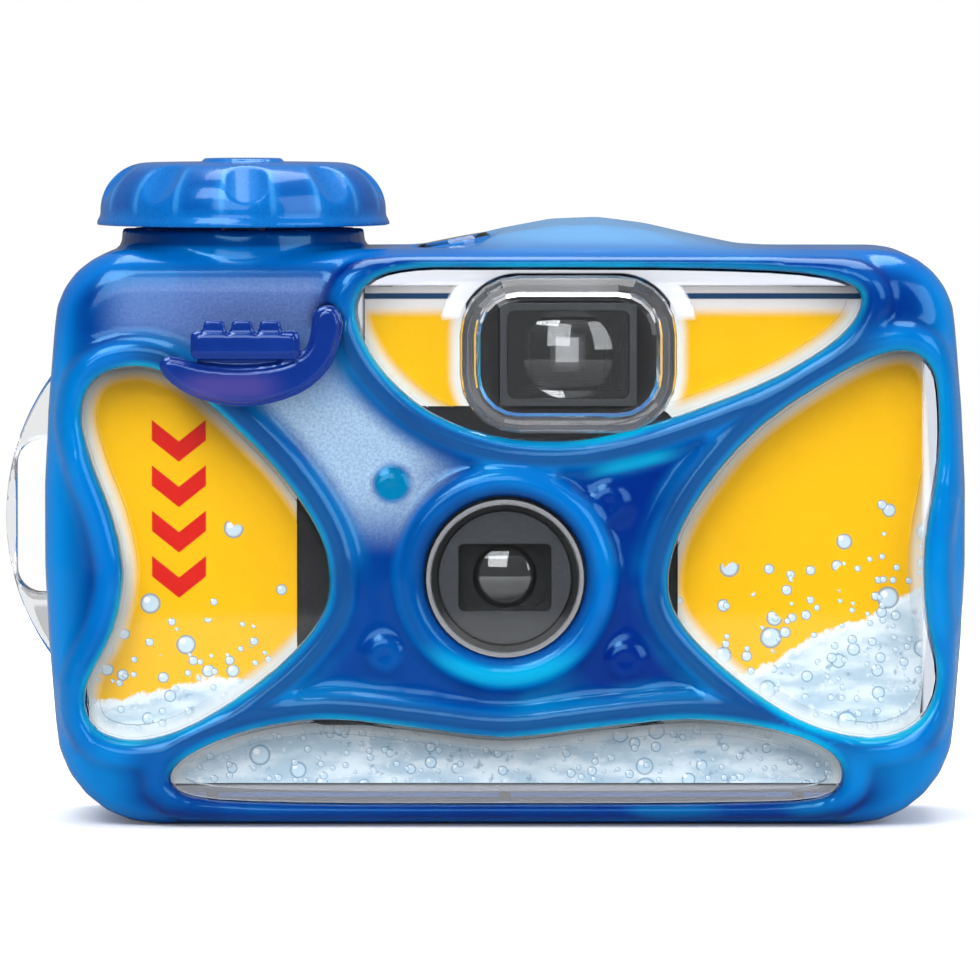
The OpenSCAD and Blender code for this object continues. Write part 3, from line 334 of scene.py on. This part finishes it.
def outside_bezel(finish):
    """Distance from the finder bezel's rounded outline, seen from the front."""
    off_x = ((finish.place("X") - bezel_mid.x).size() - (bezel_w / 2 - bezel_corner)).most(0)
    off_z = ((finish.place("Z") - bezel_mid.z).size() - (bezel_h / 2 - bezel_corner)).most(0)
    return (off_x ** 2 + off_z ** 2) ** 0.5 - bezel_corner


cell = 0.0012
card_low, card_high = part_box("front_card")
card_mesh = merged_copy("front_card", "printed_card")
bm = bmesh.new()
bm.from_mesh(card_mesh)
for way, low, high in (
    ((1, 0, 0), card_low.x, card_high.x), ((0, 0, 1), card_low.z, card_high.z),
):
    for step in range(1, int((high - low) / cell)):
        bmesh.ops.bisect_plane(
            bm, geom=bm.verts[:] + bm.edges[:] + bm.faces[:], dist=1e-7,
            plane_co=Vector(way) * (low + cell * step), plane_no=way)
bm.to_mesh(card_mesh)
bm.free()

edge_points = [p for knots in window_knots_mm.values() for p in window_edge(knots)]
window_tree = kdtree.KDTree(len(edge_points))
for i, p in enumerate(edge_points):
    window_tree.insert((p.x, 0, p.y), i)
window_tree.balance()


def window_gap(point):
    """Distance of a point from the nearest window edge, seen from the front."""
    return window_tree.find((point.x, 0, point.z))[2]


gap = card_mesh.attributes.new("from_edge", "FLOAT", "POINT")
for i, v in enumerate(card_mesh.vertices):
    gap.data[i].value = window_gap(v.co)
card = bpy.data.objects.new("printed_card", card_mesh)
scene.collection.objects.link(card)

yellow_deep, yellow_warm, yellow_pale = (0.97, 0.49, 0.0), (1.0, 0.55, 0.0), (1.0, 0.66, 0.05)
wave_blue, wave_pale, wave_white = (0.46, 0.60, 0.70), (0.78, 0.86, 0.91), (0.90, 0.93, 0.95)
wave_dark, foam_white = (0.10, 0.24, 0.40), (0.95, 0.98, 1.0)
bubble_rim, bubble_blue, bubble_glint = (0.13, 0.27, 0.42), (0.66, 0.80, 0.89), (0.98, 0.99, 1.0)
chevron_red, fade_white, top_white = (0.72, 0.012, 0.006), (0.93, 0.93, 0.91), (0.90, 0.88, 0.92)
line_navy, bed_black = (0.01, 0.06, 0.16), (0.03, 0.03, 0.035)

print_ink = Finish("print_ink", Specular_IOR_Level=0.15)
across, up = print_ink.place("X"), print_ink.place("Z")
from_edge = print_ink.add("ShaderNodeAttribute", {"attribute_name": "from_edge"}, {}, "Fac")
past_bezel = outside_bezel(print_ink)
mottle = print_ink.noise(260, 4, 0.6)
yellow = print_ink.blend(print_ink.noise(40), yellow_deep, yellow_warm)
yellow = print_ink.blend(mottle.rise(0.55, 0.8) * 0.12, yellow, yellow_pale)

# Waves: a swell that climbs to the right, with streaks in it and foam along its crest
sea_level, sea_climb = 0.0175, 0.0150
splash = print_ink.noise(520, 5, 0.68)
drift = print_ink.noise(1.0, 4.0, stretch=(150, 150, 480), turn=(0, -0.35, 0))
swell = 0.0019 * (across * 118).sine() + 0.0008 * (across * 310 + 1.3).sine()
crest = up - sea_level - sea_climb * across.rise(0.015, 0.062) - (swell + 0.004 * (splash - 0.5))
water = print_ink.layer(
    print_ink.blend(drift.rise(0.35, 0.65), wave_blue, wave_pale),
    (splash.rise(0.57, 0.68) * 0.7, wave_white),
    (splash.fall(0.33, 0.42) * 0.6, wave_dark),
)
ink = print_ink.layer(
    yellow,
    (crest.fall(-0.0004, 0.0006), water),
    (crest.about(-0.0003, 0.0002, 0.0009) * 0.7, foam_white),
)

# Bubbles: three sizes, fewer the higher they are above the crest, each with a glint
flat = print_ink.add("ShaderNodeCombineXYZ", {}, {0: across, 1: up})
for scale, left_out, reach in ((190, 0.62, 0.026), (330, 0.55, 0.020), (560, 0.50, 0.013)):
    drops = []
    for shift in (0.0, 0.09 / scale):
        nudged = print_ink.add(
            "ShaderNodeVectorMath", {"operation": "ADD"}, {0: flat, 1: (shift, -shift, 0)})
        spot = print_ink.add(
            "ShaderNodeTexVoronoi", {"voronoi_dimensions": "2D"},
            {"Vector": nudged, "Scale": scale}, "Distance")
        draw = print_ink.add("ShaderNodeSeparateColor", {}, {0: spot.twin("Color")})
        kept = (draw - left_out - (1 - left_out) * crest.rise(reach * 0.2, reach)).rise(0.0, 0.01)
        drops.append((spot / (0.5 + 0.5 * draw.twin(1)), kept))
    (ring, kept), (glint, kept_glint) = drops
    ink = print_ink.layer(
        ink,
        (ring.fall(0.28, 0.32) * kept * 0.8, bubble_rim),
        (ring.fall(0.20, 0.28) * kept * 0.9, bubble_blue),
        (glint.fall(0.06, 0.12) * kept_glint, bubble_glint),
    )

# Chevrons, the white fade, the line under the housing's bend and the bed below the bezel
chevron_x, chevron_half, chevron_pitch = -0.0445, 0.0036, 0.0062
chevron_low, chevron_high, soft = 0.0278, 0.0526, 0.0002
side = (across - chevron_x).size()
slant = up - side * 0.8
chevron = (slant * (2 * math.pi / chevron_pitch)).sine().rise(0.1, 0.2)
chevron = chevron * side.fall(chevron_half, chevron_half + soft)
chevron = chevron * slant.rise(chevron_low, chevron_low + soft)
chevron = chevron * slant.fall(chevron_high, chevron_high + soft)
ink = print_ink.layer(
    ink,
    (chevron, chevron_red),
    ((1 - from_edge.rise(0.0003, 0.0022) * past_bezel.rise(0.0004, 0.0020)) * 0.92, fade_white),
    (up.rise(0.0694, 0.0712) * 0.9, top_white),
    (up.about(0.0724, 0.0003, 0.0005), line_navy),
    (past_bezel.fall(-0.0005, -0.0001) * 0.9, bed_black),
)
print_ink.set(Base_Color=ink, Roughness=0.34 + 0.1 * mottle)
card_mesh.materials.append(print_ink.material)
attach(card, "camera")
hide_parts("front_card")

# Housing: two clear polystyrene halves welded shut on a gasket, with raised window panels,
# a thick bezel round the finder and a port for the lens. Clear, so the lamps light what is inside it,
# with pale light painted in as a milky diffuse where a panel bends into the wall, and painted
# highlights along the bezel's rounded edge and the port's rim.
wall_clear, wall_glow_white, wall_shade = (0.955, 0.97, 0.98), (0.74, 0.76, 0.82), (0.93, 0.96, 0.98)
clear_wall = Finish("clear_wall", Base_Color=wall_clear, IOR=1.49, Transmission_Weight=1.0)
clear_wall.set(Roughness=0.015 + 0.03 * clear_wall.noise(70))
wall_x, wall_y, wall_z = (clear_wall.place(axis) for axis in "XYZ")
from_bezel = outside_bezel(clear_wall)
smear = clear_wall.noise(60, 1).rise(0.30, 0.75)
# Painted highlight: a pale streaked band along the bezel's rounded front edge.
bezel_highlight = from_bezel.rise(-bezel_round, 0.0006 - bezel_round) * from_bezel.fall(0.0001, 0.0003)
bezel_highlight = bezel_highlight * wall_y.fall(-0.0194, -0.0190) * (0.02 + 0.12 * smear)
past_edge = from_bezel.rise(0.0002, 0.0005)
# Painted light: pale bands, as a milky diffuse, where light gathers in the housing's bends at the top,
# the foot, beside the bezel and along the right and finder windows' edges.
top_bend = wall_z.rise(0.0737, 0.0742) * past_edge
foot_bend = 0.3 * wall_z.fall(0.0056, 0.0061)
bezel_bend = past_edge * from_bezel.fall(0.0024, 0.0030) * wall_z.rise(0.0690, 0.0702)
right_bend = wall_x.rise(0.0566, 0.0572)
left_bend = wall_x.rise(-0.0216, -0.0212) * wall_x.fall(-0.0196, -0.0190) * wall_z.rise(0.053, 0.055)
bend_glow = top_bend.most(foot_bend).most(bezel_bend).most(0.8 * right_bend.most(left_bend))
bend_glow = bend_glow * wall_y.fall(-0.0165, -0.0155)
port_mid = sum(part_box("lens_window"), Vector()) / 2
from_port = clear_wall.away_from(port_mid.x, port_mid.z)
# Painted highlight: a thin pale ring along the lens port's rim.
port_rim_highlight = from_port.rise(0.0099, 0.0103) * from_port.fall(0.0107, 0.0109)
port_rim_highlight = port_rim_highlight * wall_y.fall(-0.0206, -0.0200)
wall = clear_wall.add("ShaderNodeMixShader", {}, {
    0: (0.7 * bend_glow).most(bezel_highlight).most(0.25 * port_rim_highlight),
    1: Flow(clear_wall, clear_wall.shader.outputs[0]),
    2: clear_wall.add("ShaderNodeBsdfDiffuse", {}, {"Color": wall_glow_white}),
})
lit_wall = clear_wall.add("ShaderNodeMixShader", {}, {
    0: clear_wall.light_path("Is Shadow Ray"),
    1: wall,
    2: clear_wall.add("ShaderNodeBsdfTransparent", {}, {"Color": wall_shade}),
})
clear_wall.join(clear_wall.end.inputs["Surface"], lit_wall)
clear_wall.wear("front_housing", "rear_housing", "lens_window", "counter_window")

# Strap loop: a clear crescent on the left side, moulded in one with the housing's plastic.
# Its corners are rounded all over, so that a strap doesn't chafe.


def moulded(node, piece_name, voxel, rounds):
    """Copy of a solid with its corners run together as a moulding's are."""
    piece = bpy.data.objects.new(piece_name, merged_copy(node, piece_name))
    scene.collection.objects.link(piece)
    skin = piece.modifiers.new("skin", "REMESH")
    skin.mode, skin.voxel_size = "VOXEL", voxel
    flow = piece.modifiers.new("flow", "SMOOTH")
    flow.factor, flow.iterations = 0.5, rounds
    done = bpy.data.meshes.new_from_object(
        piece.evaluated_get(bpy.context.evaluated_depsgraph_get()))
    piece.modifiers.clear()
    piece.data = done
    done.name = piece_name
    for face in done.polygons:
        face.use_smooth = True
    return piece


loop = moulded("strap_loop", "loop_moulding", voxel=0.0003, rounds=5)
loop.data.materials.append(clear_wall.material)
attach(loop, "camera")
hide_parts("strap_loop")

# Blue frame: two soft translucent mouldings that clasp the housing and are pinned together.
# Wide rounded rims run round every window. The skin is finely frosted at the upper left, with a
# painted pale sheen there.
# Painted shade makes it deep cobalt in its valleys, in the lens ring's well and under the knob, and
# painted cyan glow lights its raised parts, flanks, thin lips and edges, where light gathers.
valley_light, valley_dark = (0.0008, 0.052, 0.32), (0.0008, 0.026, 0.24)
proud_light, proud_dark = (0.0008, 0.185, 0.64), (0.0008, 0.145, 0.55)
tide_cyan, tide_navy = (0.0005, 0.36, 0.78), (0.0006, 0.018, 0.20)
flank_glow_blue, shade_cobalt, stud_glow_teal = (0.0005, 0.30, 0.80), (0.0010, 0.012, 0.23), (0.0005, 0.24, 0.46)
streak_cyan, lip_cyan, ring_glow_cyan = (0.0, 0.56, 0.84), (0.0, 0.54, 0.84), (0.0, 0.52, 0.84)
well_shadow_navy, ring_shade_navy, collar_shadow_navy = (0.0006, 0.030, 0.20), (0.0006, 0.036, 0.24), (0.0005, 0.025, 0.20)
rim_smoke, glow_cyan, top_pale = (0.012, 0.062, 0.225), (0.0005, 0.34, 0.76), (0.24, 0.52, 0.82)
sheen_pale, frost_smoke = (0.56, 0.76, 0.92), (0.19, 0.27, 0.60)
face_y = 0.0185
stud_x, stud_z = -0.0154, 0.0470
corner_x, corner_z = 0.0495, 0.0715
streak_x, streak_z, streak_slope = 0.0175, 0.0499, 0.22

blue_skin = Finish(
    "blue_skin", IOR=1.45, Transmission_Weight=0.3, Specular_IOR_Level=0.9,
    Specular_Tint=(0.03, 0.52, 1.0), Coat_Weight=0.3, Coat_Roughness=0.09,
)
along, depth, height = (blue_skin.place(axis) for axis in "XYZ")
cloud = blue_skin.noise(45)
fine = blue_skin.noise(2600, 3, 0.6)
tide = blue_skin.noise(60, 2, 0.4)
off_window = blue_skin.add("ShaderNodeAttribute", {"attribute_name": "from_window"}, {}, "Fac")
from_lens = blue_skin.away_from(port_mid.x, port_mid.z)
from_stud = blue_skin.away_from(stud_x, stud_z)
from_corner = blue_skin.away_from(corner_x, corner_z)

# Zones: the flat front, the web between the windows, and the bands round each window
front = depth.fall(-0.0192, -0.0165)
# Painted light: everything standing off the flat face plane, rims, ring and sides, is coloured
# brighter, as if light gathered in the thicker plastic.
proud_glow = (depth.size() - face_y).size().rise(0.0001, 0.0017)
web = along.size().fall(0.047, 0.054) * height.rise(0.008, 0.013) * height.fall(0.066, 0.073)
lip = off_window.fall(0.0001, 0.0012) * height.rise(0.0060, 0.0110)
rim = off_window.rise(0.0006, 0.0014) * off_window.fall(0.0026, 0.0040)
glow = off_window.rise(0.0026, 0.0042) * off_window.fall(0.0046, 0.0066) * front
# Frosted patch at the upper left: its grain and roughness are real, and the pale colour in it is a
# painted sheen.
frost_and_sheen = off_window.rise(0.0036, 0.0068) * front * (along + 0.006 * cloud).fall(-0.012, -0.001)
frost_and_sheen = frost_and_sheen * (height + 0.006 * cloud).rise(0.040, 0.051) * height.fall(0.0730, 0.0765)
frost_and_sheen = frost_and_sheen * along.rise(-0.0565, -0.0500)
frost_and_sheen = frost_and_sheen * along.rise(-0.050, -0.044).most(height.rise(0.0575, 0.0605))
frost_and_sheen = frost_and_sheen * from_stud.rise(0.0020, 0.0034) * from_lens.rise(0.0146, 0.0162)
# Painted glow: the flanks and the foot corners are coloured a brighter azure, as light gathers at the
# body's edges.
flank_glow = along.size().rise(0.0545, 0.0615)
flank_glow = flank_glow * (height - 0.012 * along.rise(-0.01, 0.01)).fall(0.060, 0.074)
foot_corner_glow = along.size().rise(0.048, 0.055) * height.fall(0.009, 0.014)
# Painted shade: the valleys right of the lens and a patch at the upper right corner are coloured deep
# cobalt.
valley_shade = web * front * off_window.rise(0.0040, 0.0062)
valley_shade = valley_shade * along.rise(0.006, 0.014) * from_lens.rise(0.0142, 0.0165)
valley_shade = valley_shade.most(from_corner.fall(0.0015, 0.0055))
streak_off = height - streak_z - streak_slope * (along - streak_x)
streak_glow = streak_off.size().fall(0.0002, 0.0014) * along.about(streak_x, 0.0020, 0.0075) * front
# Painted glow: a teal spot on the stud beside the lens.
stud_glow = from_stud.fall(0.0018, 0.0030) * front
# Painted shadow: a navy ring in the lens ring's well round the port.
ring_well_shadow = from_lens.fall(0.0112, 0.0134) * front
# Painted shade: the lens ring's left side is coloured darker.
ring_side_shade = from_lens.about(0.0128, 0.0010, 0.0026) * along.fall(-0.0130, -0.0040)
# Painted glow: the lens ring's lower edge is coloured cyan.
ring_foot_glow = from_lens.about(0.0136, 0.0004, 0.0020)
ring_foot_glow = ring_foot_glow * height.fall(port_mid.z - 0.0130, port_mid.z - 0.0080)
top_light = height.rise(0.0775, 0.0805) * along.rise(-0.0120, 0.0020) * along.fall(0.0300, 0.0420)
# Painted shadow: the neck under the knob is coloured dark navy.
collar_shadow = height.rise(0.0788, 0.0795) * along.fall(-0.0190, -0.0180)

skin = blue_skin.layer(
    blue_skin.blend(blue_skin.noise(28, 2).rise(0.42, 0.62), valley_light, valley_dark),
    (proud_glow, blue_skin.blend(cloud.rise(0.3, 0.7), proud_light, proud_dark)),
    (tide.rise(0.52, 0.66) * 0.28 * front, tide_cyan),
    (tide.fall(0.34, 0.47) * 0.40 * front, tide_navy),
    (flank_glow.most(foot_corner_glow) * 0.65, flank_glow_blue),
    (valley_shade * 0.8, shade_cobalt),
    (streak_glow * 0.8, streak_cyan),
    (stud_glow * 0.8, stud_glow_teal),
    (ring_well_shadow * 0.65, well_shadow_navy),
    (ring_side_shade * 0.6, ring_shade_navy),
    (ring_foot_glow * 0.75, ring_glow_cyan),
    (rim * web * 0.8, rim_smoke),
    (glow * web * cloud.rise(0.40, 0.65) * 0.35, glow_cyan),
    (lip * (0.45 + 0.5 * cloud.rise(0.45, 0.60)), lip_cyan),
    (top_light * 0.7, top_pale),
    (collar_shadow * 0.75, collar_shadow_navy),
)
# Painted sheen: pale low in the frosted patch, smoky higher up.
frost_sheen = blue_skin.blend(height.rise(0.0555, 0.0655), sheen_pale, frost_smoke)
blue_skin.set(
    Base_Color=blue_skin.blend(frost_and_sheen * (0.68 + 0.32 * fine.rise(0.36, 0.64)), skin, frost_sheen),
    Roughness=0.15 + 0.06 * cloud + 0.25 * frost_and_sheen,
)
blue_skin.grain(fine, depth=0.00006, strength=0.3)
front_limit, far_off = -0.012, 1.0
for node, piece_name in (("front_frame", "front_moulding"), ("rear_frame", "rear_moulding")):
    shell = moulded(node, piece_name, voxel=0.00065, rounds=6)
    gap = shell.data.attributes.new("from_window", "FLOAT", "POINT")
    for i, v in enumerate(shell.data.vertices):
        gap.data[i].value = window_gap(v.co) if v.co.y < front_limit else far_off
    shell.data.materials.append(blue_skin.material)
    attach(shell, "camera")
    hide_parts(node)

# Winding knob: a deep blue translucent moulding with nine finger scallops, pressed on its shaft.
# Glossier than the frame, with a little flow marking and painted pale highlights beside the scallops.
petal_dark, petal_light = (0.001, 0.105, 0.42), (0.004, 0.185, 0.62)
scallop_navy, crease_highlight = (0.001, 0.055, 0.30), (0.07, 0.36, 0.80)
scallops, first_scallop = 9, math.radians(73.3)
knob_blue = Finish(
    "knob_blue", IOR=1.45, Transmission_Weight=0.2, Specular_IOR_Level=0.9,
    Specular_Tint=(0.05, 0.45, 1.0), Coat_Weight=0.4, Coat_Roughness=0.08,
)
flow_mark = 0.55 * knob_blue.noise(130, 4, 0.55) + 0.45 * knob_blue.noise(1400, 3, 0.65)
knob_low, knob_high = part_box("advance_knob")
knob_mid = (knob_low + knob_high) / 2
knob_z = knob_blue.place("Z")
turn = knob_blue.place("Y").angle_over(knob_blue.place("X") - knob_mid.x)
swing = ((turn - first_scallop) * (scallops / 2)).sine().size()
slope = knob_z.rise(knob_low.z + 0.0012, knob_low.z + 0.003)
slope = slope * knob_z.fall(knob_high.z - 0.0022, knob_high.z - 0.0008)
knob_blue.set(
    Base_Color=knob_blue.layer(
        knob_blue.blend(flow_mark, petal_dark, petal_light),
        (swing.rise(0.78, 0.95) * slope * 0.6, scallop_navy),
        # Painted highlight: pale creases beside the ridges between scallops.
        (swing.about(0.72, 0.02, 0.10) * slope * 0.45, crease_highlight),
    ),
    Roughness=0.22 + 0.12 * flow_mark,
)
knob = moulded("advance_knob", "knob_moulding", voxel=0.0003, rounds=3)
knob.data.materials.append(knob_blue.material)
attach(knob, "winder")
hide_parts("advance_knob")

# Shutter lever: a curved arm with a ribbed finger pad, moulded in a darker blue than the frame.
# It is pressed on the end of its shaft and turns with it, and its belly carries a painted lilac sheen.
lever_dark, lever_light, lilac_sheen = (0.004, 0.022, 0.20), (0.008, 0.046, 0.33), (0.13, 0.09, 0.36)
belly_x, belly_z = -0.0375, 0.0603
lever_blue = Finish(
    "lever_blue", IOR=1.45, Transmission_Weight=0.3, Specular_IOR_Level=0.8,
    Specular_Tint=(0.1, 0.4, 1.0), Coat_Weight=0.7, Coat_Roughness=0.05,
)
streak = lever_blue.noise(160)
# Painted sheen: a lilac patch on the arm's belly.
belly_sheen = lever_blue.place("Z").about(belly_z, 0.0004, 0.0026)
belly_sheen = belly_sheen * lever_blue.place("X").about(belly_x, 0.0025, 0.0090)
lever_blue.set(
    Base_Color=lever_blue.blend(
        belly_sheen * 0.55, lever_blue.blend(streak, lever_dark, lever_light), lilac_sheen),
    Roughness=0.12 + 0.1 * streak,
)
lever = moulded("shutter_lever", "lever_moulding", voxel=0.00022, rounds=4)
lever.data.materials.append(lever_blue.material)
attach(lever, "release")
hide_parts("shutter_lever")

# Stage: a plain pale floor that runs up into a white background, soft lamps and a long lens.
# The floor keeps the object's shadow near it, and fades to white further out. For rays that
# mirror it, floor and room are darker, so that the blue isn't veiled.
sheet_white, sheet_grey, sheet_mirrored = (0.93, 0.93, 0.93), (0.915, 0.915, 0.92), (0.05, 0.05, 0.05)
black, white = (0, 0, 0), (1, 1, 1)
ray_kinds = ("Is Camera Ray", "Is Glossy Ray", "Is Transmission Ray")
paper = Finish("floor_white", Roughness=0.9, Emission_Strength=1.0)
seen, shiny, passed = (paper.light_path(kind) for kind in ray_kinds)
sheet = paper.blend(paper.noise(3), sheet_white, sheet_grey)
from_middle = paper.add(
    "ShaderNodeVectorMath", {"operation": "LENGTH"}, {0: paper.place()}, "Value")
lift = 0.08 + 0.92 * from_middle.rise(0.09, 0.36)
glare = lift * (seen + 0.05 * shiny + 0.2 * passed).least(1)
paper.set(
    Base_Color=paper.blend((shiny + 0.15 * passed).least(1) * 0.85, sheet, sheet_mirrored),
    Emission_Color=paper.blend(glare, black, white),
)
floor_mesh = bpy.data.meshes.new("floor")
bm = bmesh.new()
bmesh.ops.create_circle(bm, cap_ends=True, segments=96, radius=0.45)
bm.to_mesh(floor_mesh)
bm.free()
floor_mesh.materials.append(paper.material)
floor = bpy.data.objects.new("floor", floor_mesh)
scene.collection.objects.link(floor)


class Studio(Finish):
    """The room's light: white behind the object and overhead, dark in front of it."""

    def __init__(self):
        scene.world = bpy.data.worlds.new("studio")
        scene.world.use_nodes = True
        self.tree = scene.world.node_tree
        self.shader = self.tree.nodes["Background"]


room = Studio()
heading = room.add("ShaderNodeTexCoord", {}, {}, "Generated")
back, above = (room.add("ShaderNodeSeparateXYZ", {}, {0: heading}, axis) for axis in "YZ")
bright = back.rise(-0.35, 0.5).most(above.rise(0.25, 0.9) * 0.8)
seen, shiny, passed = (room.light_path(kind) for kind in ray_kinds)
mirror = 1 - 0.75 * shiny * (1 - passed)
room.set(Color=white, Strength=((0.14 + 0.76 * bright) * mirror).most(seen))

for name, spot, target, size, power in (
    ("key", (-0.36, -0.7, 0.85), (0, 0, 0.04), 0.5, 6.4),
    ("fill", (0.7, -0.6, 0.4), (0, 0, 0.04), 0.6, 3.5),
    ("top", (0.05, 0.15, 0.9), (0, 0, 0.05), 0.6, 6.0),
    ("window", (-0.16, -0.85, 0.40), (0, 0, 0.05), 0.45, 2.4),
):
    light = bpy.data.lights.new(name, "AREA")
    light.shape, light.size, light.energy = "SQUARE", size, power
    lamp = bpy.data.objects.new(name, light)
    lamp.location = spot
    lamp.rotation_euler = (Vector(target) - Vector(spot)).to_track_quat("-Z", "Y").to_euler()
    scene.collection.objects.link(lamp)

sensor_mm, distance, view_width = 36.0, 1.15, 0.13335
aim, tilt = Vector((-0.00204, -0.0185, 0.0461)), math.radians(3.0)
eye = bpy.data.cameras.new("eye")
eye.sensor_width = sensor_mm
eye.lens = sensor_mm * distance / view_width
viewer = bpy.data.objects.new("eye", eye)
viewer.location = aim + distance * Vector((0, -math.cos(tilt), math.sin(tilt)))
viewer.rotation_euler = (math.pi / 2 - tilt, 0, 0)
scene.collection.objects.link(viewer)
scene.camera = viewer
